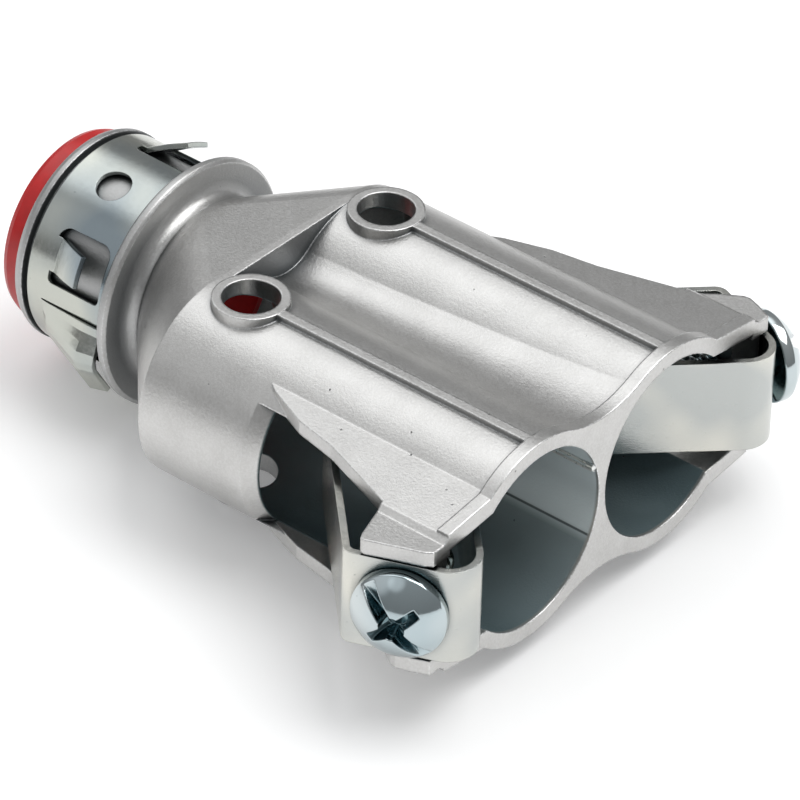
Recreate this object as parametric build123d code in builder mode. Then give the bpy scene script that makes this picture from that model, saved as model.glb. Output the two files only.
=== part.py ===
# Duplex snap-in connector for two metal-clad cables, with a die-cast zinc body.
# Frame: X runs across the two cable tubes, +Y points out of the nose, +Z is up.
# The origin lies on the nose axis, at the flange face that seats on the box wall.
from build123d import *
from math import cos, radians, sin, sqrt, tan
import os

os.makedirs("parts", exist_ok=True)

# Nose, flange and neck
throat_radius = 8.6            # bore through the nose
nose_radius = 10.15            # barrel that the snap ring sits on
lip_radius = 11.05             # front bead that keeps the snap ring on
lip_length = 1.2
lip_round = 0.7                # rounding of its front edge
nose_length = 12.4
flange_radius = 12.9
flange_thickness = 1.2
neck_radius = 9.5
neck_fillet = 1.3
flange_edge = 0.3              # broken edges of the flange

# Funnel between the neck and the tubes
shoulder_distance = 12.15      # flange face to the shoulder
shoulder_thickness = 0.85      # end wall above the hollow between the tubes
cavity_start = 2.6             # flange face to the inside of the funnel
neck_offset = 0.1              # half the flat between the two ends of the neck section

# Cable tubes
body_length = 51.75            # flange face to the mouth
tube_spacing = 19.68           # between the two cable axes
bore_radius = 9.4
tube_wall = 1.0
mouth_hollow = 13.0            # radius of the hollow between the tubes, at the mouth
shoulder_hollow = 5.0          # and at the shoulder, where it is deeper
band_height = 0.6              # raised band round the mouth
band_width = 1.4

# Peep holes and ribs
peep_distance = 17.0           # flange face to the peep holes
peep_radius = 2.83
peep_rim_radius = 3.76
peep_rim_top = 11.02           # height of the rim above the cable axes
rib_width = 1.06
rib_top = 10.97

# Side windows
window_distance = 24.75        # flange face to the back edge of the window
window_bevel = 1.6

# Wings above and below each window, with a stepped lug at the mouth
wing_start = 15.3              # inside the tube wall
wing_start_top = 8.4
wing_fall = 0.125              # drop per millimetre outwards
wing_thickness = 1.5
riser_top_x = 22.7             # step from the wing down to the lug
riser_foot_x = 23.4
lug_top = 7.0
lug_thickness = 1.6
lug_inner_x = 22.5
wing_band_height = 0.3

# Screws, No. 10-24, and where their axes pass the outside of the straps
screw_x = 25.98
screw_y = -49.2
screw_tilt = 22.0              # degrees between the axis and the X direction
screw_radius = 2.36
screw_length = 9.5
head_radius = 4.6
head_height = 3.4
head_edge = 1.1
left_head_gap = 0.05           # head to strap
right_head_gap = 1.3           # the right screw stands a turn further out
thread_clearance = 0.06
recess_width = 1.3
recess_reach = 2.9
recess_depth = 2.2
recess_core = 1.1              # round bottom of the recess
recess_turn = 40.0             # degrees

# Screw posts, cast between the upper and the lower wing
post_gap = 0.3                 # strap to post
post_thickness = 3.0
post_front = 2.9               # screw axis to the front of the post
post_back = 2.2
post_half_height = 5.8

# Clamp straps, bent from flat strip
strap_thickness = 0.7
strap_width = 10.2
strap_reach = 54.3             # flange face to the foremost point of the strap
leg_angle = 45.0               # degrees between the clamping legs and the cable axis
front_bend_radius = 3.07       # outside of the bend
back_bend_radius = 1.35
back_bend_distance = 5.7       # screw axis to the outer corner at the back
front_leg = 15.0               # from the front bend to the free end
back_leg = 21.5
strap_corner = 1.3
strap_hole_clearance = 0.25

# Snap ring
ring_radius = 10.92            # outside
ring_thickness = 0.45
ring_back = 0.2
ring_front = 10.55
ring_turn = 20.2               # degrees that the ring is turned from straight up
ring_split = 5.0               # degrees
ring_hole_distance = 5.72
ring_hole_radius = 1.8
tang_angle = 45.6              # degrees from the round hole to the tangs
tang_window_width = 5.95
tang_window_back = 1.55
tang_window_corner = 1.3
tang_slot_end = 8.0            # front end of the slots beside each tang
tang_slot_round = 0.55
tang_root = 7.4
tang_root_width = 3.6
tang_middle = 5.3
tang_middle_radius = 12.1
tang_tip = 3.2
tang_tip_radius = 13.05
tang_tip_width = 3.2
leg_start = 73.0               # degrees from the round hole to the spread legs
leg_end = 111.0
leg_blend = 20.0               # degrees over which a leg rises from the ring
leg_root = 8.7
leg_knee = 8.0
leg_knee_radius = 11.75
leg_crest = 2.9
leg_crest_radius = 13.6
leg_tip = 0.95
leg_tip_radius = 13.15

# Throat insert
insert_clearance = 0.05
insert_wall = 0.95
insert_head_radius = 10.1
insert_head_length = 2.4
insert_edge = 0.8
insert_rear = 4.0              # flange face to the rear end of the liner

# Worked-out sizes
half_spacing = tube_spacing / 2
tube_radius = bore_radius + tube_wall
tilt = radians(screw_tilt)
window_half_height = wing_start_top - wing_fall * (half_spacing + 6.6 - wing_start) - wing_thickness


def across(distance):
    """Plane across the cable axes behind the flange face, facing the mouth."""
    return Plane(origin=(0, -distance, 0), x_dir=(1, 0, 0), z_dir=(0, -1, 0))


def stadium(radius, half_width, plane):
    """Hull of two equal circles."""
    with BuildSketch(plane) as outline:
        with Locations((-half_width, 0), (half_width, 0)):
            Circle(radius)
        Rectangle(2 * half_width, 2 * radius)
    return outline.sketch


def tangent_points(radius, hollow):
    """Where a hollow between two circles touches them, and the height of its centre."""
    reach = radius + hollow
    height = sqrt(reach ** 2 - half_spacing ** 2)
    return half_spacing * (1 - radius / reach), radius * height / reach, height


def duplex_outline(radius, hollow, plane):
    """Two circles joined by tangent hollows above and below."""
    touch_x, touch_z, height = tangent_points(radius, hollow)
    with BuildSketch(plane) as outline:
        with Locations((-half_spacing, 0), (half_spacing, 0)):
            Circle(radius)
        Rectangle(2 * touch_x, 2 * touch_z)
        with Locations((0, height), (0, -height)):
            Circle(hollow, mode=Mode.SUBTRACT)
    return outline.sketch


def bridge(hollow, plane):
    """Section of the metal between the two tubes: hollow arcs above and below, straight sides."""
    touch_x, touch_z, height = tangent_points(tube_radius, hollow)
    middle = height - hollow
    with BuildSketch(plane) as outline:
        with BuildLine():
            ThreePointArc((-touch_x, touch_z), (0, middle), (touch_x, touch_z))
            Line((touch_x, touch_z), (touch_x, -touch_z))
            ThreePointArc((touch_x, -touch_z), (0, -middle), (-touch_x, -touch_z))
            Line((-touch_x, -touch_z), (-touch_x, touch_z))
        make_face()
    return outline.sketch


def screw_plane(outwards):
    """Plane across the right screw; its x runs along the strap, its y runs down."""
    axis = Vector(cos(tilt), -sin(tilt), 0)
    return Plane(origin=Vector(screw_x, screw_y, 0) + axis * outwards,
                 x_dir=(sin(tilt), cos(tilt), 0), z_dir=axis)


def sector(start, end, back, front):
    """Wedge about the nose axis; angles in degrees from straight up towards -X."""
    count = 6
    rim = [radians(start + (end - start) * step / count) for step in range(count + 1)]
    points = [(0, 0)] + [(-30 * sin(angle), 30 * cos(angle)) for angle in rim]
    plane = Plane(origin=(0, front, 0), x_dir=(1, 0, 0), z_dir=(0, -1, 0))
    with BuildPart() as wedge:
        with BuildSketch(plane):
            with BuildLine():
                Polyline(*points, close=True)
            make_face()
        extrude(amount=front - back)
    return wedge.part


# Right window, with a bevelled back edge
with BuildPart() as window:
    with BuildSketch(Plane.XY):
        with BuildLine():
            Polyline(
                (half_spacing + 3, -window_distance - window_bevel),
                (half_spacing + bore_radius, -window_distance - window_bevel),
                (half_spacing + tube_radius, -window_distance),
                (half_spacing + tube_radius + 3, -window_distance),
                (half_spacing + tube_radius + 3, -body_length - 1),
                (half_spacing + 3, -body_length - 1),
                close=True,
            )
        make_face()
    revolve(axis=Axis((half_spacing, 0, 0), (0, 1, 0)))
    with Locations((half_spacing + 12, -body_length / 2, 0)):
        Box(20, body_length + 4, 2 * window_half_height, mode=Mode.INTERSECT)

# Plan outlines of the right wings: over the lug the edge follows the strap
wing_plan_inner = [
    (wing_start, -window_distance - 0.1),
    (16.05, -window_distance - 0.1),
    (16.75, -25.9),
    (18.6, -30.5),
    (19.5, -35.2),
    (22.4, -43.7),
]
lug_plan_right = [
    (23.0, -43.4),
    (23.7, -44.9),
    (24.7, -46.1),
    (25.95, -48.0),
    (26.05, -48.7),
    (25.6, -50.0),
    (24.85, -body_length),
    (wing_start, -body_length),
]
lug_plan_left = [
    (23.3, -43.9),
    (26.9, -45.05),
    (27.45, -45.35),
    (27.5, -45.8),
    (25.35, -51.1),
    (24.8, -body_length),
    (wing_start, -body_length),
]


def wing(plan):
    """Upper right wing: sloping plate, lug one step lower, and the band at the mouth."""
    def top(x):
        return wing_start_top - wing_fall * (x - wing_start)

    with BuildPart() as plate:
        with BuildSketch(across(window_distance)):
            with BuildLine():
                Polyline(
                    (wing_start, top(wing_start)),
                    (riser_top_x, top(riser_top_x)),
                    (riser_foot_x, lug_top),
                    (30, lug_top),
                    (30, lug_top - lug_thickness),
                    (lug_inner_x, lug_top - lug_thickness),
                    (lug_inner_x, top(lug_inner_x) - wing_thickness),
                    (wing_start, top(wing_start) - wing_thickness),
                    close=True,
                )
            make_face()
        extrude(amount=body_length - window_distance)
        with BuildSketch(across(body_length - band_width)):
            with BuildLine():
                Polyline(
                    (wing_start, top(wing_start) + wing_band_height),
                    (riser_top_x, top(riser_top_x) + wing_band_height),
                    (riser_top_x, top(riser_top_x) - 0.5),
                    (wing_start, top(wing_start) - 0.5),
                    close=True,
                )
            make_face()
        extrude(amount=band_width)
        with BuildSketch(Plane.XY):
            with BuildLine():
                Polyline(*(wing_plan_inner + plan), close=True)
            make_face()
        extrude(amount=20, mode=Mode.INTERSECT)
    return plate.part


# Right screw post with its threaded hole
with BuildPart() as post:
    with BuildSketch(screw_plane(-strap_thickness - post_gap)):
        with Locations(((post_back - post_front) / 2, 0)):
            Rectangle(post_back + post_front, 2 * post_half_height)
    extrude(amount=-post_thickness)
    with BuildSketch(screw_plane(0)):
        Circle(screw_radius + thread_clearance)
    extrude(amount=-10, mode=Mode.SUBTRACT)

upper_right_wing = wing(lug_plan_right)
upper_left_wing = mirror(wing(lug_plan_left), about=Plane.YZ)

# Die-cast body
with BuildPart() as body:
    # Nose, bead and flange, turned about the nose axis
    with BuildSketch(Plane.XY) as nose_section:
        with BuildLine():
            Polyline(
                (0, nose_length),
                (lip_radius - lip_round, nose_length),
                (lip_radius - 0.3 * lip_round, nose_length - 0.3 * lip_round),
                (lip_radius, nose_length - lip_round),
                (lip_radius, nose_length - lip_length),
                (nose_radius, nose_length - lip_length),
                (nose_radius, 0),
                (flange_radius - flange_edge, 0),
                (flange_radius, -flange_edge),
                (flange_radius, flange_edge - flange_thickness),
                (flange_radius - flange_edge, -flange_thickness),
                (neck_radius, -flange_thickness),
                (neck_radius, -flange_thickness - neck_fillet - 0.1),
                (0, -flange_thickness - neck_fillet - 0.1),
                close=True,
            )
        make_face()
        fillet(nose_section.vertices().sort_by_distance((neck_radius, -flange_thickness))[0], neck_fillet)
    revolve(axis=Axis.Y)
    # Funnel from the round neck to both tubes, and its shoulder
    neck_section = stadium(neck_radius - neck_offset / 2, neck_offset, across(flange_thickness + neck_fillet))
    shoulder_section = stadium(tube_radius, half_spacing, across(shoulder_distance))
    add(loft([neck_section, shoulder_section], ruled=True, mode=Mode.PRIVATE))
    add(extrude(shoulder_section, amount=shoulder_thickness, mode=Mode.PRIVATE))
    # Both tubes, the metal between them and the raised band round their mouth
    with BuildSketch(across(shoulder_distance)):
        with Locations((-half_spacing, 0), (half_spacing, 0)):
            Circle(tube_radius)
    extrude(amount=body_length - shoulder_distance)
    between = loft([bridge(shoulder_hollow, across(shoulder_distance)),
                    bridge(mouth_hollow, across(body_length))], ruled=True, mode=Mode.PRIVATE)
    add(between)
    band = duplex_outline(tube_radius + band_height, mouth_hollow - band_height,
                          across(body_length - band_width))
    add(extrude(band, amount=band_width, mode=Mode.PRIVATE))
    # Peep rims and ribs on both faces
    rib_length = body_length - peep_distance - band_width / 2
    for height in (1, -1):
        with BuildSketch(Plane.XY):
            with Locations((-half_spacing, -peep_distance), (half_spacing, -peep_distance)):
                Circle(peep_rim_radius)
        extrude(amount=height * peep_rim_top)
        with BuildSketch(Plane.XY):
            with Locations((-half_spacing, -peep_distance - rib_length / 2),
                           (half_spacing, -peep_distance - rib_length / 2)):
                Rectangle(rib_width, rib_length)
        extrude(amount=height * rib_top)
    # Throat, funnel cavity and bores
    with BuildSketch(Plane.XZ.offset(-nose_length)):
        Circle(throat_radius)
    extrude(amount=nose_length + cavity_start, mode=Mode.SUBTRACT)
    cavity_front = stadium(throat_radius, neck_offset, across(cavity_start))
    cavity_back = stadium(bore_radius, half_spacing, across(shoulder_distance))
    add(loft([cavity_front, cavity_back], ruled=True, mode=Mode.PRIVATE), mode=Mode.SUBTRACT)
    with BuildSketch(across(shoulder_distance)):
        with Locations((-half_spacing, 0), (half_spacing, 0)):
            Circle(bore_radius)
    extrude(amount=body_length - shoulder_distance, mode=Mode.SUBTRACT)
    # Peep holes
    with BuildSketch(Plane.XY.offset(-peep_rim_top)):
        with Locations((-half_spacing, -peep_distance), (half_spacing, -peep_distance)):
            Circle(peep_radius)
    extrude(amount=2 * peep_rim_top, mode=Mode.SUBTRACT)
    # Side windows
    add(window.part, mode=Mode.SUBTRACT)
    add(mirror(window.part, about=Plane.YZ), mode=Mode.SUBTRACT)
    # Wings with their lugs; the lower ones are the upper ones turned half round the nose axis
    add(upper_right_wing)
    add(upper_left_wing)
    add(upper_right_wing.rotate(Axis.Y, 180))
    add(upper_left_wing.rotate(Axis.Y, 180))
    # Screw posts between the lugs
    add(post.part)
    add(mirror(post.part, about=Plane.YZ))
    # The bores again, where the wings reach into them
    with BuildSketch(across(window_distance - 1)):
        with Locations((-half_spacing, 0), (half_spacing, 0)):
            Circle(bore_radius)
    extrude(amount=body_length - window_distance + 1, mode=Mode.SUBTRACT)
body.part.label = "body"
export_step(body.part, "parts/body.step")

# Insulating throat: a liner with a rounded head in front of the nose
with BuildPart() as throat_insert:
    with BuildSketch(Plane.XY):
        liner_radius = throat_radius - insert_clearance
        with BuildLine():
            Polyline(
                (liner_radius - insert_wall, -insert_rear),
                (liner_radius - 0.25, -insert_rear),
                (liner_radius, -insert_rear + 0.6),
                (liner_radius, nose_length),
                (insert_head_radius, nose_length),
                (insert_head_radius, nose_length + insert_head_length - insert_edge),
                (insert_head_radius - 0.3 * insert_edge, nose_length + insert_head_length - 0.3 * insert_edge),
                (insert_head_radius - insert_edge, nose_length + insert_head_length),
                (liner_radius - 0.2, nose_length + insert_head_length),
                (liner_radius - insert_wall, nose_length + insert_head_length - 1.0),
                close=True,
            )
        make_face()
    revolve(axis=Axis.Y)
throat_insert.part.label = "throat_insert"
export_step(throat_insert.part, "parts/throat_insert.step")

# Sheet of the snap ring's tangs, as a full turn that the tangs are cut from
ring_inner = ring_radius - ring_thickness
with BuildPart() as tang_sheet:
    with BuildSketch(Plane.XY):
        outer_face = [(ring_radius, tang_slot_end + 0.5), (ring_radius, tang_root),
                      (tang_middle_radius, tang_middle), (tang_tip_radius, tang_tip)]
        inner_face = [(radius - ring_thickness, height - 0.2) for radius, height in reversed(outer_face[1:])]
        with BuildLine():
            Polyline(*(outer_face + inner_face), (ring_inner, tang_slot_end + 0.5), close=True)
        make_face()
    revolve(axis=Axis.Y)


def tang_plane(angle):
    """Plane inside the ring that faces a tang; its x runs along the nose."""
    turned = radians(ring_turn + angle)
    outwards = Vector(-sin(turned), 0, cos(turned))
    return Plane(origin=outwards * 5, x_dir=(0, 1, 0), z_dir=outwards)


def tang_window(angle):
    """Cutter for the window of a tang; both slots beside the tang are its front part."""
    with BuildPart() as cutter:
        with BuildSketch(tang_plane(angle)) as outline:
            with Locations(((tang_slot_end + tang_window_back) / 2, 0)):
                Rectangle(tang_slot_end - tang_window_back, tang_window_width)
            fillet(outline.vertices().group_by(Axis.Y)[0], tang_window_corner)
            fillet(outline.vertices().group_by(Axis.Y)[-1], tang_slot_round)
        extrude(amount=10)
    return cutter.part


def tang(angle):
    """One tang, narrower than its window, cut from the sheet."""
    with BuildPart() as outline:
        with BuildSketch(tang_plane(angle)):
            with BuildLine():
                Polyline(
                    (tang_slot_end + 0.4, tang_root_width / 2),
                    (tang_tip - 0.5, tang_tip_width / 2),
                    (tang_tip - 0.5, -tang_tip_width / 2),
                    (tang_slot_end + 0.4, -tang_root_width / 2),
                    close=True,
                )
            make_face()
        extrude(amount=10)
    return tang_sheet.part & outline.part


def leg_section(degrees_from_hole, side):
    """Radial section of a spread leg; it rises from the ring over the first degrees."""
    share = min((degrees_from_hole - leg_start) / leg_blend, 1)
    rise = 0.12 + 0.88 * share * share * (3 - 2 * share)
    outer = [(ring_radius, leg_root + 0.2), (ring_radius, leg_root)]
    for radius, height in ((leg_knee_radius, leg_knee), (leg_crest_radius, leg_crest), (leg_tip_radius, leg_tip)):
        outer.append((ring_radius + (radius - ring_radius) * rise, height))
    inner = [(radius - ring_thickness, height - 0.12) for radius, height in reversed(outer)]
    angle = radians(ring_turn + side * degrees_from_hole)
    plane = Plane(origin=(0, 0, 0), x_dir=(-sin(angle), 0, cos(angle)), z_dir=(-cos(angle), 0, -sin(angle)))
    with BuildSketch(plane) as section:
        with BuildLine():
            Polyline(*(outer + inner), close=True)
        make_face()
    return section.sketch


def spread_leg(side):
    """One leg: a ruled skin over radial sections, flat beyond the rise."""
    count = 5
    first = leg_start + 0.7
    places = [first + (leg_blend - 0.7) * step / count for step in range(count + 1)] + [leg_end - 0.7]
    return loft([leg_section(place, side) for place in places], ruled=True)


# Snap ring
with BuildPart() as snap_ring:
    with BuildSketch(Plane.XY):
        with Locations(((ring_inner + ring_radius) / 2, (ring_back + ring_front) / 2)):
            Rectangle(ring_thickness, ring_front - ring_back)
    revolve(axis=Axis.Y)
    # Split opposite the round hole
    add(sector(ring_turn + 180 - ring_split / 2, ring_turn + 180 + ring_split / 2, -1, ring_front + 1),
        mode=Mode.SUBTRACT)
    # Windows, and the tangs that stand out of them
    for angle in (tang_angle, -tang_angle):
        add(tang_window(angle), mode=Mode.SUBTRACT)
        add(tang(angle))
    # Spread legs on both sides, open towards the flange
    for side in (1, -1):
        ends = sorted((ring_turn + side * leg_start, ring_turn + side * leg_end))
        add(sector(ends[0], ends[1], -1, leg_root), mode=Mode.SUBTRACT)
        add(spread_leg(side))
    # Round hole
    hole_angle = radians(ring_turn)
    outwards = Vector(-sin(hole_angle), 0, cos(hole_angle))
    with BuildSketch(Plane(origin=Vector(0, ring_hole_distance, 0), x_dir=(0, 1, 0), z_dir=outwards)):
        Circle(ring_hole_radius)
    extrude(amount=ring_radius + 5, mode=Mode.SUBTRACT)
snap_ring.part.label = "snap_ring"
export_step(snap_ring.part, "parts/snap_ring.step")

# Right strap in plan: corners of its outer face, then those of its inner face
along = Vector(sin(tilt), cos(tilt))
outward = Vector(cos(tilt), -sin(tilt))
leg_direction = Vector(-sin(radians(leg_angle)), cos(radians(leg_angle)))
bend = radians(screw_tilt + leg_angle)
on_axis = Vector(screw_x, screw_y)
bend_centre_y = front_bend_radius - strap_reach
front_run = (screw_y - bend_centre_y + front_bend_radius * sin(tilt)) / cos(tilt)
front_corner = on_axis - along * (front_run + front_bend_radius / tan(bend / 2))
back_corner = on_axis + along * back_bend_distance
front_tip = front_corner + leg_direction * (front_bend_radius / tan(bend / 2) + front_leg)
back_tip = back_corner + leg_direction * back_leg
inner_front_corner = front_corner + (leg_direction + along).normalized() * (strap_thickness / sin(bend / 2))
inner_back_corner = back_corner + (leg_direction - along).normalized() * (strap_thickness / cos(bend / 2))
leg_normal = Vector(leg_direction.Y, -leg_direction.X) * strap_thickness

with BuildPart() as right_strap:
    with BuildSketch(Plane.XY) as strap_section:
        with BuildLine():
            Polyline(
                front_tip, front_corner, back_corner, back_tip,
                back_tip - leg_normal, inner_back_corner, inner_front_corner, front_tip + leg_normal,
                close=True,
            )
        make_face()
        for corner, radius in (
            (front_corner, front_bend_radius),
            (inner_front_corner, front_bend_radius - strap_thickness),
            (back_corner, back_bend_radius),
            (inner_back_corner, back_bend_radius - strap_thickness),
        ):
            fillet(strap_section.vertices().sort_by_distance(corner)[0], radius)
    extrude(amount=strap_width / 2, both=True)
    # Rounded free ends
    ends = right_strap.edges().filter_by(lambda edge: abs(edge.length - strap_thickness) < 0.01)
    fillet(ends.filter_by(Axis.Z, reverse=True), strap_corner)
    # Hole for the screw
    with BuildSketch(screw_plane(1)):
        Circle(screw_radius + strap_hole_clearance)
    extrude(amount=-strap_thickness - 2, mode=Mode.SUBTRACT)

# Screw along +Z, with its pan head on the XY plane: pan head with a cross recess
dome_height = head_height - head_edge
dome_radius = (head_radius ** 2 + dome_height ** 2) / (2 * dome_height)
dome_centre = head_height - dome_radius
with BuildPart() as screw:
    with BuildSketch(Plane.XZ):
        with BuildLine():
            Polyline(
                (0, head_height),
                (0, -screw_length),
                (screw_radius - 0.5, -screw_length),
                (screw_radius, -screw_length + 0.6),
                (screw_radius, 0),
                (head_radius - 0.15, 0),
                (head_radius, 0.15),
                (head_radius, head_edge),
            )
            ThreePointArc(
                (head_radius, head_edge),
                (head_radius * 0.55, dome_centre + sqrt(dome_radius ** 2 - (head_radius * 0.55) ** 2)),
                (0, head_height),
            )
        make_face()
    revolve(axis=Axis.Z)
    with BuildSketch(Plane.XY.offset(head_height).rotated((0, 0, recess_turn))):
        Rectangle(2 * recess_reach, recess_width)
        Rectangle(recess_width, 2 * recess_reach)
    extrude(amount=-recess_depth, mode=Mode.SUBTRACT)
    with BuildSketch(Plane.XY.offset(head_height)):
        Circle(recess_core)
    extrude(amount=-recess_depth - 0.4, mode=Mode.SUBTRACT)

# Places of both screws
right_screw = screw_plane(right_head_gap).location * screw.part
left_plane = Plane(origin=Vector(-screw_x, screw_y, 0) + Vector(-cos(tilt), -sin(tilt), 0) * left_head_gap,
                   x_dir=(-sin(tilt), cos(tilt), 0), z_dir=(-cos(tilt), -sin(tilt), 0))
left_screw = left_plane.location * screw.part
left_strap = mirror(right_strap.part, about=Plane.YZ)

for label, piece in (
    ("right_strap", right_strap.part),
    ("left_strap", left_strap),
    ("right_screw", right_screw),
    ("left_screw", left_screw),
):
    piece.label = label
    export_step(piece, f"parts/{label}.step")
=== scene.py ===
# %% [markdown]
# # A die-cast duplex cable connector, seen from above the cable mouths
# The solids come packed in one frame: X across the two cable tubes, +Y out of the round nose, +Z up,
# with the origin on the nose axis at the flange face. Everything here is in metres in that frame. The
# casting, its red throat, the snap ring and the straps keep their solids and only get their finishes. The
# screws get new skins, because their threads and recesses are finer than the solids have them.

import math

import bpy
import numpy as np
from mathutils import Matrix, Vector


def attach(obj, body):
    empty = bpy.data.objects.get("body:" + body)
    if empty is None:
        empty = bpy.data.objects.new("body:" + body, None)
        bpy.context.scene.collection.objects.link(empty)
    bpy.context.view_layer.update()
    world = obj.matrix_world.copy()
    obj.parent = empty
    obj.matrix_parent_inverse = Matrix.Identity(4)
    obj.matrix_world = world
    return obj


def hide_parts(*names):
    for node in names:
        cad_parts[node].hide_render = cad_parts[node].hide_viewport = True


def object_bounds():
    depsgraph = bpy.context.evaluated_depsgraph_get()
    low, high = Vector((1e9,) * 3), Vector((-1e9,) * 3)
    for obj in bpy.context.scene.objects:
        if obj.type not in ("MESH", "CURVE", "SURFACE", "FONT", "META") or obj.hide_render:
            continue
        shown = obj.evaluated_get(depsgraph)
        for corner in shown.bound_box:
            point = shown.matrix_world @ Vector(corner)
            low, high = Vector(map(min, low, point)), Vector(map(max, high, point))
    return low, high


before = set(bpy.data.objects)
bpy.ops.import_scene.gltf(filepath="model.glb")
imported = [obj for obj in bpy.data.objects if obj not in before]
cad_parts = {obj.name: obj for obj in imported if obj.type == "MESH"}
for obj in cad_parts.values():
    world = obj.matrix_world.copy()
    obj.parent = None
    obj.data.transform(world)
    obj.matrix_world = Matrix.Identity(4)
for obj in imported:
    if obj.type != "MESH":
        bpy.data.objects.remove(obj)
cad_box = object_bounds()
MM = 0.001
print("CAD box in mm:", [[round(v / MM, 1) for v in corner] for corner in cad_box])

# %% [markdown]
# ## Camera
# A small part is photographed from some distance with a long lens, so that its near and far ends look
# about equally large. Such a camera can be found by trying lenses until the picture seems right. Here a
# least-squares fit of about forty points of known place gave its direction, roll, distance and framing.
# They are written down as one matrix from the camera's three axes, so no angle order can go wrong.

# %% Camera
AZIMUTH = math.radians(-51.2205)    # round +Z, from the side of the mouths
ELEVATION = math.radians(35.8712)
ROLL = math.radians(1.8494)
DISTANCE = 625 * MM                 # from the plane through the origin
SHIFT_RIGHT = 20.9523 * MM          # from the origin to the middle of the picture
SHIFT_UP = -11.7100 * MM
PIXELS_PER_MM = 10.3242             # in the plane through the origin
FRAME_PIXELS = 800
SENSOR = 36.0                       # millimetres

right = Vector((math.cos(AZIMUTH), math.sin(AZIMUTH), 0))
level = Vector((math.sin(AZIMUTH), -math.cos(AZIMUTH), 0))
back = level * math.cos(ELEVATION) + Vector((0, 0, 1)) * math.sin(ELEVATION)
up = back.cross(right)
right_rolled = right * math.cos(ROLL) + up * math.sin(ROLL)
up_rolled = up * math.cos(ROLL) - right * math.sin(ROLL)

camera_data = bpy.data.cameras.new("camera")
camera_data.sensor_width = SENSOR
camera_data.lens = PIXELS_PER_MM * (DISTANCE / MM) * SENSOR / FRAME_PIXELS
camera_data.clip_start = 0.05
camera_data.clip_end = 10
camera = bpy.data.objects.new("camera", camera_data)
bpy.context.scene.collection.objects.link(camera)
place = right_rolled * SHIFT_RIGHT + up_rolled * SHIFT_UP + back * DISTANCE
axes = Matrix((right_rolled, up_rolled, back)).transposed()
camera.matrix_world = Matrix.Translation(place) @ axes.to_4x4()
bpy.context.scene.camera = camera
print("lens in mm:", round(camera_data.lens, 1))

# %% [markdown]
# ## Finishes
# A finish is a tree of shader nodes. It could be drawn by hand in the node editor, but written down it can
# be read, and a value can be changed in one place. One helper adds any node with its settings and links,
# and a few more do what comes up again and again: a sum, a range, a blend of colours, a ramp.

# %% Colour, and the helper that adds a node
def linear(hex_value):
    """sRGB hex to linear RGBA: each channel over 255, then the sRGB curve undone."""
    channels = [int(hex_value[i:i + 2], 16) / 255 for i in (1, 3, 5)]
    straight = [c / 12.92 if c <= 0.04045 else ((c + 0.055) / 1.055) ** 2.4 for c in channels]
    return (*straight, 1.0)


def put(tree, socket, value):
    """Joins the socket to another one, or writes a plain value on it."""
    if isinstance(value, bpy.types.NodeSocket):
        tree.links.new(value, socket)
    else:
        socket.default_value = value


def add(tree, kind, links=None, **settings):
    """A node of that kind: settings are its properties, links its inputs, as a socket to join or a value."""
    node = tree.nodes.new(kind)
    for name, value in settings.items():
        setattr(node, name, value)
    for name, value in (links or {}).items():
        put(tree, node.inputs[name], value)
    return node


# %% Sums, ranges, blends and ramps
def math_node(tree, operation, first, second, kind="ShaderNodeMath"):
    """One sum on two sockets or values; on vectors, kind is ShaderNodeVectorMath."""
    node = add(tree, kind, operation=operation)
    for socket, value in zip(node.inputs, (first, second)):
        put(tree, socket, value)
    return node.outputs["Value"]


def span(tree, value, low, high, at_low=0.0, at_high=1.0):
    """value carried from low..high to at_low..at_high, held at both ends."""
    return add(tree, "ShaderNodeMapRange", {"Value": value, "From Min": low, "From Max": high,
                                            "To Min": at_low, "To Max": at_high}).outputs["Result"]


def blend(tree, share, first, second):
    """Colour first where share is 0, second where it is 1."""
    node = add(tree, "ShaderNodeMix", data_type="RGBA")
    for index, value in ((0, share), (6, first), (7, second)):
        put(tree, node.inputs[index], value)
    return node.outputs[2]


def ramp(tree, factor, stops):
    """A colour ramp between two stops, each a position and an sRGB hex colour."""
    node = add(tree, "ShaderNodeValToRGB", {"Fac": factor})
    for element, (position, colour) in zip(node.color_ramp.elements, stops):
        element.position = position
        element.color = linear(colour)
    return node.outputs["Color"]


def per_mm(size):
    """Texture scale for features of that size in millimetres: how many of them make a metre."""
    return 1 / (size * MM)


def new_material(name):
    """An empty material and its node tree."""
    material = bpy.data.materials.new(name)
    material.use_nodes = True
    material.node_tree.nodes.clear()
    return material, material.node_tree


# %% [markdown]
# ## The casting
# The body is a zinc die casting, tumbled after casting. It is neutral grey metal with a fine sandy skin
# and a few pits. Tumbling rubs the edges bright, and the hollows, corners, nose and the faces square to
# the die's pull are painted darker as shade. A picture of such a skin could be wrapped round the part, but
# it would stretch and show its seams. Noise on Object coordinates has no seams, and its sizes can be given
# in millimetres.

# %% Skin of the casting
def casting_skin(tree, place):
    """Clouds 4 mm across, sand 0.28 mm across, and a pit 0.2 mm wide in the middle of each 3 mm cell."""
    # Real sand is finer than a pixel, which is 0.1 mm here, so it is drawn as coarse as it must be to show
    clouds = add(tree, "ShaderNodeTexNoise", {"Vector": place, "Scale": per_mm(4.0), "Detail": 3.0,
                                              "Roughness": 0.5})
    sand = add(tree, "ShaderNodeTexNoise", {"Vector": place, "Scale": per_mm(0.2778), "Detail": 3.0,
                                            "Roughness": 0.75})
    cells = add(tree, "ShaderNodeTexVoronoi", {"Vector": place, "Scale": per_mm(3.0303)})
    pits = span(tree, cells.outputs["Distance"], 0.02, 0.045, 1.0, 0.0)
    return clouds.outputs["Fac"], sand.outputs["Fac"], pits
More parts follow.
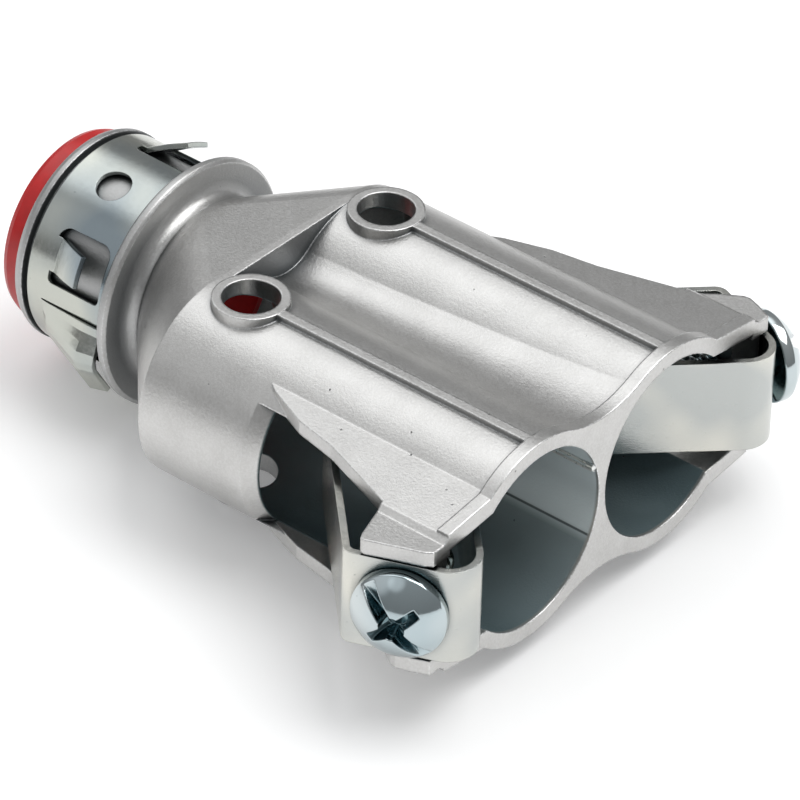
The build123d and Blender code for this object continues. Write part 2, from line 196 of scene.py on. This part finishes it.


# %% [markdown]
# Wear and painted shade follow the shape. Painted masks would have to be redone when a size changes, so
# the shader finds the edges by itself. The Bevel node bends the normal within 0.28 mm of an edge, and
# where the bent normal leaves the flat one, metal is rubbed. Ambient Occlusion finds corners within 1.6 mm
# and hollows within 6 mm, and both are painted darker as shade. The faces square to the die's pull, on the
# flange and at the shoulder, are known by their normal and painted dark as shade, and the nose is painted a
# little darker too.

# %% Wear and painted shade of the casting
EDGE_RADIUS = 0.28 * MM
CORNER_REACH = 1.6 * MM
HOLLOW_REACH = 6.0 * MM
SHOULDER_END = -14.5 * MM           # behind the shoulder wall


def casting_wear_and_shade(tree, axes, sand, rounded):
    """Shares from 0 to 1: rubbed edges, then painted shade in corners, in hollows, on the nose and on faces
    square to the pull.
    """
    flat = add(tree, "ShaderNodeNewGeometry").outputs["Normal"]
    same = math_node(tree, "DOT_PRODUCT", rounded, flat, "ShaderNodeVectorMath")
    edge = span(tree, same, 0.99, 0.86)
    rubbed = math_node(tree, "MULTIPLY", edge, span(tree, sand, 0.42, 0.6))
    # Painted shade: corners within 1.6 mm are painted dark
    corner = add(tree, "ShaderNodeAmbientOcclusion", {"Distance": CORNER_REACH}, samples=8)
    painted_corner_shade = span(tree, corner.outputs["AO"], 0.4, 0.85, 0.85, 0.0)
    # Painted shade: hollows within 6 mm are painted darker
    hollow = add(tree, "ShaderNodeAmbientOcclusion", {"Distance": HOLLOW_REACH}, samples=8)
    painted_hollow_shade = span(tree, hollow.outputs["AO"], 0.35, 0.72, 0.62, 0.0)
    # Painted shade: from the flange face forward the nose is painted a little darker; it is also rougher
    nose = span(tree, axes.outputs["Y"], -1.6 * MM, -0.4 * MM, 0.0, 0.35)
    # Painted shade: faces that look towards the mouths, from the shoulder's end to the flange, are painted
    # dark
    facing = add(tree, "ShaderNodeSeparateXYZ", {"Vector": flat}).outputs["Y"]
    square = math_node(tree, "MULTIPLY", span(tree, facing, -0.9, -0.7, 1.0, 0.0),
                       span(tree, axes.outputs["Y"], SHOULDER_END, SHOULDER_END + 0.5 * MM))
    return rubbed, painted_corner_shade, painted_hollow_shade, nose, square


# %% [markdown]
# In the bores nothing has touched the skin, so they keep the bluish oxide of casting. A paler share is
# painted on as light beside the web and above the tube axes, most in the left bore, and the left bore shows
# the line where the two core halves part. The shader knows a bore by its distance from the tube's axis, so
# no face has to be picked by hand.

# %% Bores of the casting
TUBE_X = 9.84                       # millimetres from the middle to each tube's axis
BORE_RADIUS = 9.4
PARTING_ANGLE = math.radians(117)   # about the left tube's axis, from straight up towards +X


def distance_from(tree, axes, x, z):
    """Distance in the XZ plane from the line through (x, z), in millimetres, that runs along Y."""
    aside = math_node(tree, "SUBTRACT", axes.outputs["X"], x * MM)
    above = math_node(tree, "SUBTRACT", axes.outputs["Z"], z * MM)
    flat = add(tree, "ShaderNodeCombineXYZ", {"X": aside, "Z": above}).outputs["Vector"]
    return add(tree, "ShaderNodeVectorMath", {"Vector": flat}, operation="LENGTH").outputs["Value"]


def inside_bores(tree, axes):
    """1 within the bore radius of a tube axis, between mouth and shoulder, and 0 elsewhere."""
    left = distance_from(tree, axes, -TUBE_X, 0)
    right = distance_from(tree, axes, TUBE_X, 0)
    nearest = math_node(tree, "MINIMUM", left, right)
    near = span(tree, nearest, (BORE_RADIUS + 0.05) * MM, (BORE_RADIUS + 0.15) * MM, 1.0, 0.0)
    mouth = span(tree, axes.outputs["Y"], -51.6 * MM, -51.3 * MM)
    shoulder = span(tree, axes.outputs["Y"], -13.5 * MM, -13.0 * MM, 1.0, 0.0)
    return math_node(tree, "MULTIPLY", near, math_node(tree, "MULTIPLY", mouth, shoulder))


def painted_bore_light(tree, axes):
    """Share of light painted on the bores' wall: falls off 14 mm from the web, below the tube axes, and in
    the right bore.
    """
    above = span(tree, axes.outputs["Z"], -5.0 * MM, -3.9 * MM, 0.25, 1.0)
    web = span(tree, math_node(tree, "ABSOLUTE", axes.outputs["X"], 0.0), 0.5 * MM, 14.0 * MM, 1.0, 0.0)
    left = span(tree, axes.outputs["X"], -0.5 * MM, 0.5 * MM, 1.0, 0.25)
    return math_node(tree, "MULTIPLY", left, math_node(tree, "MULTIPLY", above, web))


def parting_line(tree, axes, bores):
    """Share of the dark line, 0.1 mm to each side of where the parting meets the left bore's wall."""
    across = distance_from(tree, axes, -TUBE_X + BORE_RADIUS * math.sin(PARTING_ANGLE),
                           BORE_RADIUS * math.cos(PARTING_ANGLE))
    return math_node(tree, "MULTIPLY", bores, span(tree, across, 0.08 * MM, 0.16 * MM, 0.85, 0.0))


# %% [markdown]
# One picture of all the colours couldn't be changed bit by bit. Here each is laid over the last one by its
# share: metal, sand, painted shade in the hollows and on the nose, painted shade on the faces square to the
# pull, rubbed edges, painted shade in corners, oxide with painted light in the bores, pits and the parting
# line. An oxide scatters light as paint does, so the metallic share falls in the bores. Two bumps, one on
# the clouds and one on the sand, break the reflections up.

# %% Tumbled zinc die casting
def casting_colour(tree, axes, clouds, sand, pits, bores, wear_and_shade):
    """Colour of the casting, each step laid over the last one by its share."""
    rubbed, painted_corner_shade, painted_hollow_shade, nose, square = wear_and_shade
    colour = ramp(tree, clouds, [(0.3, "#c0bfbd"), (0.7, "#cac9c7")])
    colour = blend(tree, span(tree, sand, 0.42, 0.62, 0.0, 0.35), colour, linear("#dededd"))
    # Painted shade in the hollows and on the nose
    colour = blend(tree, math_node(tree, "MAXIMUM", painted_hollow_shade, nose), colour, linear("#777c80"))
    # Painted shade on the faces square to the pull, deeper at the shoulder wall than on the flange
    square_shade_depth = span(tree, axes.outputs["Y"], -9.0 * MM, -7.0 * MM, 0.65, 0.2)
    colour = blend(tree, math_node(tree, "MULTIPLY", square, square_shade_depth), colour, linear("#54595d"))
    colour = blend(tree, rubbed, colour, linear("#eeefef"))
    # Painted shade in the corners
    colour = blend(tree, painted_corner_shade, colour, linear("#5a5e60"))
    # The bores' bluish oxide, with a paler share painted on as light
    oxide_and_painted_light = blend(tree, painted_bore_light(tree, axes), linear("#5f7074"), linear("#e2edf0"))
    colour = blend(tree, bores, colour, oxide_and_painted_light)
    colour = blend(tree, math_node(tree, "MULTIPLY", pits, 0.7), colour, linear("#4c5052"))
    return blend(tree, parting_line(tree, axes, bores), colour, linear("#3a4447"))


def casting_normal(tree, clouds, sand, pits, rounded):
    """Normal of the skin: waves 0.10 mm high, then sand and pits 0.05 mm high."""
    height = math_node(tree, "SUBTRACT", sand, math_node(tree, "MULTIPLY", pits, 1.5))
    waves = add(tree, "ShaderNodeBump", {"Height": clouds, "Normal": rounded, "Strength": 0.25,
                                         "Distance": 0.10 * MM}).outputs["Normal"]
    return add(tree, "ShaderNodeBump", {"Height": height, "Normal": waves, "Strength": 0.7,
                                        "Distance": 0.05 * MM}).outputs["Normal"]


def zinc_casting():
    """Zinc alloy, die cast and tumbled: satin metal, rougher where the skin is as cast."""
    material, tree = new_material("tumbled_zinc_die_casting")
    place = add(tree, "ShaderNodeTexCoord").outputs["Object"]
    axes = add(tree, "ShaderNodeSeparateXYZ", {"Vector": place})
    clouds, sand, pits = casting_skin(tree, place)
    rounded = add(tree, "ShaderNodeBevel", {"Radius": EDGE_RADIUS}, samples=8).outputs["Normal"]
    wear_and_shade = casting_wear_and_shade(tree, axes, sand, rounded)
    bores = inside_bores(tree, axes)
    as_cast = math_node(tree, "MAXIMUM", wear_and_shade[3], wear_and_shade[4])
    rough = math_node(tree, "ADD", span(tree, sand, 0.3, 0.7, 0.28, 0.40),
                      math_node(tree, "MULTIPLY", as_cast, 0.22))
    shader = add(tree, "ShaderNodeBsdfPrincipled",
                 {"Base Color": casting_colour(tree, axes, clouds, sand, pits, bores, wear_and_shade),
                  "Roughness": rough, "Metallic": span(tree, bores, 0.0, 1.0, 1.0, 0.35),
                  "Normal": casting_normal(tree, clouds, sand, pits, rounded)})
    add(tree, "ShaderNodeOutputMaterial", {"Surface": shader.outputs["BSDF"]})
    print(material.name, len(tree.nodes), "nodes")
    return material


# %% [markdown]
# ## The throat
# The throat is moulded red nylon, which keeps the wires off the metal's edge. A plastic has no metallic
# share: its colour is its own and only its highlights are white. A little haze, 1 mm across, keeps the
# gloss from looking like enamel.

# %% Red moulded nylon
def red_throat():
    """Nylon, moulded: saturated colour under a soft gloss, IOR 1.53."""
    material, tree = new_material("moulded_red_nylon")
    place = add(tree, "ShaderNodeTexCoord").outputs["Object"]
    haze = add(tree, "ShaderNodeTexNoise", {"Vector": place, "Scale": per_mm(1.111),
                                            "Detail": 3.0}).outputs["Fac"]
    bump = add(tree, "ShaderNodeBump", {"Height": haze, "Strength": 0.2, "Distance": 0.02 * MM})
    shader = add(tree, "ShaderNodeBsdfPrincipled",
                 {"Base Color": ramp(tree, haze, [(0.3, "#b00a0c"), (0.7, "#c01012")]),
                  "Roughness": 0.34, "IOR": 1.53, "Normal": bump.outputs["Normal"]})
    add(tree, "ShaderNodeOutputMaterial", {"Surface": shader.outputs["BSDF"]})
    print(material.name, len(tree.nodes), "nodes")
    return material


# %% [markdown]
# ## The plated steel
# Ring, straps and screws are zinc-plated steel. The plating's thin passivation film tints it from bluish
# to yellowish in soft patches, its corners are painted dark as shade, and rolling leaves the strip nearly
# mirror bright. They are one finish with different numbers, so one function makes them all. Where the
# casting is sandy, these are smooth: the roughness stays low, and the waves are long and shallow.

# %% Zinc-plated steel
PLATED_EDGE = 0.12 * MM


def plated_steel(name, cool, warm, corner_shade, reach_mm, low, high, grain_mm, streaks):
    """Plating from cool to warm in patches, painted dark as shade in corners of that reach, with roughness
    low to high.

    The grain is grain_mm high, and streaks above 1 press it together along Z, across the strip.
    """
    material, tree = new_material(name)
    place = add(tree, "ShaderNodeTexCoord").outputs["Object"]
    # Rolling grain is finer than a pixel too, and is drawn 0.5 mm long
    drawn = add(tree, "ShaderNodeMapping", {"Vector": place, "Scale": (1.0, 1.0, streaks)}).outputs["Vector"]
    film = add(tree, "ShaderNodeTexNoise", {"Vector": place, "Scale": per_mm(14.286), "Detail": 2.0,
                                            "Roughness": 0.5}).outputs["Fac"]
    waves = add(tree, "ShaderNodeTexNoise", {"Vector": place, "Scale": per_mm(5.0), "Detail": 1.0,
                                             "Roughness": 0.4}).outputs["Fac"]
    grain = add(tree, "ShaderNodeTexNoise", {"Vector": drawn, "Scale": per_mm(0.5), "Detail": 3.0,
                                             "Roughness": 0.6}).outputs["Fac"]
    cells = add(tree, "ShaderNodeTexVoronoi", {"Vector": place, "Scale": per_mm(2.0)})
    specks = span(tree, cells.outputs["Distance"], 0.02, 0.05, 0.6, 0.0)
    corner = add(tree, "ShaderNodeAmbientOcclusion", {"Distance": reach_mm * MM}, samples=8)
    colour = ramp(tree, film, [(0.4, cool), (0.62, warm)])
    # Painted shade: corners within the reach are painted dark
    colour = blend(tree, span(tree, corner.outputs["AO"], 0.3, 0.85, 0.9, 0.0), colour, linear(corner_shade))
    colour = blend(tree, specks, colour, linear("#5e6668"))
    rounded = add(tree, "ShaderNodeBevel", {"Radius": PLATED_EDGE}, samples=6).outputs["Normal"]
    bent = add(tree, "ShaderNodeBump", {"Height": waves, "Normal": rounded, "Strength": 0.3,
                                        "Distance": 0.12 * MM}).outputs["Normal"]
    skin = add(tree, "ShaderNodeBump", {"Height": grain, "Normal": bent, "Strength": 0.3,
                                        "Distance": grain_mm * MM}).outputs["Normal"]
    shader = add(tree, "ShaderNodeBsdfPrincipled",
                 {"Base Color": colour, "Metallic": 1.0, "Roughness": span(tree, grain, 0.3, 0.7, low, high),
                  "Normal": skin})
    add(tree, "ShaderNodeOutputMaterial", {"Surface": shader.outputs["BSDF"]})
    print(material.name, len(tree.nodes), "nodes")
    return material


# %% [markdown]
# ## Who wears what
# The ring is the bluest piece, the straps are warmer and rolled lengthwise, and the screws are brightest,
# with dark blue painted as shade in their recesses. The straps' painted corner shade reaches 2 mm, round
# the screw heads. Rubbed zinc is for the ridges in the left bore, drawn bright by the core.
# One finish for all steel would be less work, but then strip, ring and screws would look cut from one sheet.

# %% The finishes
finishes = {
    "body": zinc_casting(),
    "throat_insert": red_throat(),
    "snap_ring": plated_steel("zinc_plated_spring_steel", cool="#8d989e", warm="#bfc1b9", corner_shade="#4c565a",
                              reach_mm=0.8, low=0.14, high=0.24, grain_mm=0.014, streaks=1.0),
    "strap": plated_steel("zinc_plated_strip_steel", cool="#b9bcba", warm="#e3e0d5", corner_shade="#4a5052",
                          reach_mm=2.0, low=0.15, high=0.28, grain_mm=0.030, streaks=6.0),
    "rubbed": plated_steel("rubbed_zinc", cool="#d5dddf", warm="#e2e4e2", corner_shade="#a9b4b7",
                           reach_mm=0.5, low=0.25, high=0.35, grain_mm=0.010, streaks=1.0),
    "screw": plated_steel("bright_zinc_plated_screw", cool="#b4c1c5", warm="#cfd4d4", corner_shade="#1c525c",
                          reach_mm=2.6, low=0.07, high=0.14, grain_mm=0.005, streaks=1.0),
}


# %% Onto the solids
def paint(node, material):
    """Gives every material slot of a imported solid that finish."""
    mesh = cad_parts[node].data
    if not mesh.materials:
        mesh.materials.append(material)
    for index in range(len(mesh.materials)):
        mesh.materials[index] = material


for node, finish in (("body", "body"), ("throat_insert", "throat_insert"), ("snap_ring", "snap_ring"),
                     ("left_strap", "strap"), ("right_strap", "strap"),
                     ("left_screw", "screw"), ("right_screw", "screw")):
    paint(node, finishes[finish])
    print(node, "wears", finishes[finish].name)

# %% [markdown]
# ## The screws
# Each is a pan-head machine screw with a combination recess, a cross with a slot through it, which takes
# either driver. A boolean cut would leave long thin faces and sharp, computed-looking edges. Here the head
# is one height field over a disc: the dome less the depth of the recess. Rows 0.05 mm apart keep the
# recess walls crisp, and an S-shaped step rounds their edges as the punch does.

# %% Sizes of the screw, in millimetres
HEAD_RADIUS = 4.6
HEAD_HEIGHT = 3.39                  # a hair under the solid's, so the skin stays inside its box
HEAD_EDGE = 1.1
SHANK_RADIUS = 2.36
SHANK_LENGTH = 9.5
THREAD_PITCH = 25.4 / 24
THREAD_DEPTH = 0.55
RECESS_REACH = 2.9
RECESS_WIDTH = 1.3
RECESS_DEPTH = 2.3
RECESS_TURN = math.radians(40.0)
CORE_RADIUS = 0.95                  # round bottom of the cross
CORE_EXTRA = 0.1                    # how much deeper it is than the arms
SLOT_WIDTH = 1.25
SLOT_FLOOR = 1.35                   # height of the slot's floor above the strap side of the head


# %% Recess of the head
def smooth(value):
    """0 below 0, 1 above 1, and an S between: three times its square less twice its cube."""
    held = np.clip(value, 0, 1)
    return held * held * (3 - 2 * held)


def arm(along, across):
    """Depth of one bar of the cross: full in the middle, less by the cube of the way to its ends.

    Its half width narrows by a quarter on the way, and its walls fall within 0.2 mm.
    """
    share = np.clip(np.abs(along) / RECESS_REACH, 0, 1)
    half_width = RECESS_WIDTH / 2 * (1 - 0.25 * share)
    return RECESS_DEPTH * (1 - share ** 3) * (1 - smooth((np.abs(across) - half_width + 0.16) / 0.2))


def recess(x, y, dome):
    """Depth of the combination recess: the deepest of two bars, a round core and a flat-bottomed slot."""
    u = x * math.cos(RECESS_TURN) + y * math.sin(RECESS_TURN)
    v = y * math.cos(RECESS_TURN) - x * math.sin(RECESS_TURN)
    core = (RECESS_DEPTH + CORE_EXTRA) * (1 - smooth((np.hypot(u, v) - CORE_RADIUS) / 0.35))
    slot = np.clip(dome - SLOT_FLOOR, 0, None) * (1 - smooth((np.abs(u) - SLOT_WIDTH / 2 + 0.1) / 0.2))
    return np.maximum(np.maximum(arm(u, v), arm(v, u)), np.maximum(core, slot))


# %% [markdown]
# The rest of the screw is a profile turned about the axis. Blender's Screw modifier could wind the thread,
# but a helix also fits the same grid: the radius dips by the thread's depth where the height, counted in
# pitches, keeps up with the turn, and is full where it is half a pitch off. The dip fades in below the
# head and the end tapers, as those of a rolled thread do.

# %% Rows of the screw
def round_rows(radius, height, turn):
    """Points at radius r, turn t and height h: x is r times cos t, y is r times sin t, z is h."""
    return np.stack([radius * np.cos(turn), radius * np.sin(turn), height + 0 * turn], -1)


def head_rows(turn):
    """A cap of the sphere that passes through the top and the head's edge, less the recess."""
    rise = HEAD_HEIGHT - HEAD_EDGE
    curve = (HEAD_RADIUS ** 2 + rise ** 2) / (2 * rise)
    radius = np.linspace(0.02, HEAD_RADIUS - 0.12, 92)[:, None]
    dome = HEAD_HEIGHT - curve + np.sqrt(curve ** 2 - radius ** 2) + 0 * turn
    return round_rows(radius, dome - recess(radius * np.cos(turn), radius * np.sin(turn), dome), turn)


def rim_rows(turn):
    """The head's rounded rim, its flat underside and the plain neck below it."""
    profile = np.array([(HEAD_RADIUS - 0.05, HEAD_EDGE + 0.08), (HEAD_RADIUS, HEAD_EDGE - 0.08),
                        (HEAD_RADIUS, 0.2), (HEAD_RADIUS - 0.06, 0.06), (HEAD_RADIUS - 0.2, 0.0),
                        (SHANK_RADIUS + 0.2, 0.0), (SHANK_RADIUS - 0.02, -0.15), (SHANK_RADIUS - 0.02, -0.3)])
    return round_rows(profile[:, :1], profile[:, 1:], turn)


def thread_rows(turn):
    """Shank radius less the thread's depth times an S of how far the phase is from a half.

    The phase is the height over the pitch, less the turns made, without its whole number.
    """
    height = np.linspace(-0.35, -SHANK_LENGTH, 90)[:, None]
    phase = np.mod(height / THREAD_PITCH - turn / (2 * math.pi), 1.0)
    groove = smooth((np.abs(phase - 0.5) * 2 - 0.12) / 0.76)
    fade = smooth((-0.35 - height) / 1.2)
    taper = 0.75 + 0.25 * smooth((height + SHANK_LENGTH) / 0.7)
    return round_rows((SHANK_RADIUS - 0.02 - THREAD_DEPTH * groove * fade) * taper, height, turn)


# %% [markdown]
# A grid becomes a mesh once its rows are joined by quads. The last column is joined to the first, so no
# seam is open, and a fan of triangles round one middle point closes each end. The same function serves
# the screws and the ridges below.

# %% From rows of points to a closed mesh
def skin(name, rows, middle_first, middle_last):
    """A closed mesh from rows of points: quads between rows, a fan of triangles at both ends."""
    count, columns = rows.shape[:2]
    points = np.concatenate([rows.reshape(-1, 3), [middle_first, middle_last]]) * MM
    i, j = np.meshgrid(np.arange(count - 1), np.arange(columns), indexing="ij")
    k = (j + 1) % columns
    quads = np.stack([i * columns + j, (i + 1) * columns + j, (i + 1) * columns + k, i * columns + k], -1)
    ring = np.arange(columns)
    after = (ring + 1) % columns
    last = (count - 1) * columns
    first_fan = np.stack([np.full(columns, count * columns), ring, after], -1)
    last_fan = np.stack([np.full(columns, count * columns + 1), last + after, last + ring], -1)
    faces = quads.reshape(-1, 4).tolist() + first_fan.tolist() + last_fan.tolist()
    mesh = bpy.data.meshes.new(name)
    mesh.from_pydata(points.tolist(), [], faces)
    mesh.shade_smooth()
    piece = bpy.data.objects.new(name, mesh)
    bpy.context.scene.collection.objects.link(piece)
    return piece


# %% [markdown]
# The screws lean 22 degrees towards the mouths. An object could be turned into place, but the finish reads
# Object coordinates and the export expects pieces at the origin, so the points themselves are turned. Each
# screw rides on its own body, because it turns as it draws its strap in. The right one stands further out.

# %% Both screws
SCREW_X = 25.98                     # where the axis passes the outside of the strap, in millimetres
SCREW_Y = -49.2
SCREW_TILT = math.radians(22.0)
SCREW_COLUMNS = 384


def screw_place(side, gap):
    """Axes and origin that carry the +Z screw to its place; side is 1 for the right one, -1 for the left."""
    axis = np.array([side * math.cos(SCREW_TILT), -math.sin(SCREW_TILT), 0])
    along = np.array([side * math.sin(SCREW_TILT), math.cos(SCREW_TILT), 0])
    turned = np.stack([along, np.cross(axis, along), axis])
    return turned, np.array([side * SCREW_X, SCREW_Y, 0]) + axis * gap


turn = np.linspace(0, 2 * math.pi, SCREW_COLUMNS, endpoint=False)[None, :]
screw_rows = np.concatenate([head_rows(turn), rim_rows(turn), thread_rows(turn)])
bottom = np.array([0, 0, HEAD_HEIGHT - RECESS_DEPTH - CORE_EXTRA])
point = np.array([0, 0, -SHANK_LENGTH])
for side, name, gap in ((-1, "left", 0.05), (1, "right", 1.3)):
    turned, origin = screw_place(side, gap)
    piece = skin(name + "_screw_skin", screw_rows @ turned + origin, bottom @ turned + origin,
                 point @ turned + origin)
    piece.data.materials.append(finishes["screw"])
    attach(piece, name + "_clamp_screw")
    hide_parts(name + "_screw")
    print(piece.name, len(piece.data.polygons), "faces")

# %% [markdown]
# ## Marks of the core
# The core of the left bore has left two low ridges side by side, and a nib of flash where they end. They
# could be drawn as bump, but a ridge this high has a shadow and an outline of its own. Each is a small
# round bar, half sunk in the bore's wall, and shrinks to nothing at both ends.

# %% Ridges in the left bore
def ridge_rows(angle_degrees, half_width, start, end):
    """Circles along the bore's wall, at that angle from straight up towards +X.

    Each circle's points are its middle, plus its size times cos t inwards and sin t sideways.
    """
    angle = math.radians(angle_degrees)
    inward = np.array([-math.sin(angle), 0, -math.cos(angle)])
    sideways = np.array([math.cos(angle), 0, -math.sin(angle)])
    line = np.array([-TUBE_X, 0, 0]) - inward * (BORE_RADIUS + 0.02)
    y = np.linspace(start, end, 60)
    size = half_width * np.clip(np.minimum(y - start, end - y) / 0.2, 0.05, 1)
    turn = np.linspace(0, 2 * math.pi, 16, endpoint=False)
    offset = np.cos(turn)[:, None] * inward + np.sin(turn)[:, None] * sideways
    rows = line + size[:, None, None] * offset[None] + y[:, None, None] * np.array([0, 1, 0])
    return rows, line + np.array([0, start, 0]), line + np.array([0, end, 0])


for name, angle, half_width, start, end in (("upper_ridge", 67.9, 0.22, -51.5, -20.0),
                                            ("lower_ridge", 73.3, 0.18, -51.5, -20.0),
                                            ("flash_nib", 68.5, 0.45, -51.74, -50.6)):
    piece = skin(name, *ridge_rows(angle, half_width, start, end))
    piece.data.materials.append(finishes["rubbed"])
    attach(piece, "housing")
    print(piece.name, len(piece.data.polygons), "faces")

# %% [markdown]
# ## The floor
# The part lies on pale paper. More light would whiten the paper and burn out the metal with it, so the
# light stays plain and the paper gets a faint glow that only camera, mirror and transmitted rays see.
# Diffuse rays don't, so the glow lights nothing, and the object's shadow stays on the paper.

# %% Floor
FLOOR_HEIGHT = cad_box[0][2] - 0.1 * MM
FLOOR_HALF = 1.5
FLOOR_GLOW = 0.20

corners = [(x * FLOOR_HALF, y * FLOOR_HALF, FLOOR_HEIGHT) for x, y in ((-1, -1), (1, -1), (1, 1), (-1, 1))]
mesh = bpy.data.meshes.new("floor")
mesh.from_pydata(corners, [], [(0, 1, 2, 3)])
floor = bpy.data.objects.new("floor", mesh)
bpy.context.scene.collection.objects.link(floor)

material, tree = new_material("pale_paper_floor")
rays = add(tree, "ShaderNodeLightPath").outputs
mirrored = math_node(tree, "MAXIMUM", rays["Is Glossy Ray"], rays["Is Transmission Ray"])
seen = math_node(tree, "MAXIMUM", rays["Is Camera Ray"], mirrored)
glow = math_node(tree, "MULTIPLY", seen, FLOOR_GLOW)
shader = add(tree, "ShaderNodeBsdfPrincipled",
             {"Base Color": linear("#f4f4f4"), "Roughness": 0.9, "Emission Color": linear("#ffffff"),
              "Emission Strength": glow})
add(tree, "ShaderNodeOutputMaterial", {"Surface": shader.outputs["BSDF"]})
mesh.materials.append(material)
print("floor in mm:", round(FLOOR_HEIGHT / MM, 2))

# %% [markdown]
# ## The studio
# Metal shows what stands round it, so the studio matters as much as the finish. Lamps alone leave it black
# between their highlights. Here the world draws the studio: dim at the horizon and lighter overhead, with
# one broad panel high behind the nose, which the crests of both tubes mirror, and two weak panels high at
# the left, which the sides of the tubes and the wings mirror.

# %% World
world = bpy.data.worlds.new("studio")
bpy.context.scene.world = world
world.use_nodes = True
tree = world.node_tree
tree.nodes.clear()
direction = add(tree, "ShaderNodeTexCoord").outputs["Generated"]


def panel(towards, inner_degrees, outer_degrees, strength):
    """Brightness of a round soft panel: full within the inner angle, none beyond the outer one."""
    nearness = math_node(tree, "DOT_PRODUCT", direction, Vector(towards).normalized(), "ShaderNodeVectorMath")
    return add(tree, "ShaderNodeMapRange",
               {"Value": nearness, "From Min": math.cos(math.radians(outer_degrees)),
                "From Max": math.cos(math.radians(inner_degrees)), "To Min": 0.0, "To Max": strength},
               interpolation_type="SMOOTHSTEP").outputs["Result"]


height = add(tree, "ShaderNodeSeparateXYZ", {"Vector": direction}).outputs["Z"]
brightness = span(tree, height, 0.0, 0.9, 0.27, 0.40)
for towards, inner, outer, strength in (((0.17, 0.50, 0.85), 11, 32, 1.30),
                                        ((-0.66, 0.51, 0.60), 6, 30, 0.38),
                                        ((-0.62, 0.02, 0.76), 6, 20, 0.40)):
    brightness = math_node(tree, "ADD", brightness, panel(towards, inner, outer, strength))
background = add(tree, "ShaderNodeBackground", {"Color": linear("#fdfeff"), "Strength": brightness})
add(tree, "ShaderNodeOutputWorld", {"Surface": background.outputs["Background"]})
print("studio:", len(tree.nodes), "nodes")

# %% [markdown]
# One softbox stands nearly overhead, a little to the front and right. It lights the floor and throws the
# shadow to the left and behind. It is large for its distance, so the shadow's edge is soft.

# %% Softbox
SOFTBOX_PLACE = Vector((170, -200, 590)) * MM
SOFTBOX_TARGET = Vector((0, -20, 0)) * MM
SOFTBOX_SIDE = 480 * MM
SOFTBOX_WATTS = 2.6

softbox_data = bpy.data.lights.new("front_softbox", "AREA")
softbox_data.shape = "RECTANGLE"
softbox_data.size = SOFTBOX_SIDE
softbox_data.size_y = SOFTBOX_SIDE
softbox_data.energy = SOFTBOX_WATTS
softbox = bpy.data.objects.new("front_softbox", softbox_data)
bpy.context.scene.collection.objects.link(softbox)
softbox.location = SOFTBOX_PLACE
softbox.rotation_euler = (SOFTBOX_TARGET - SOFTBOX_PLACE).to_track_quat("-Z", "Y").to_euler()
print("softbox in mm:", [round(v / MM) for v in softbox.location])

# %% [markdown]
# ## Finish
# The Standard view transform shows each colour as it is written, where a film-like one would grey it.

# %% Finish
bpy.context.scene.view_settings.view_transform = "Standard"
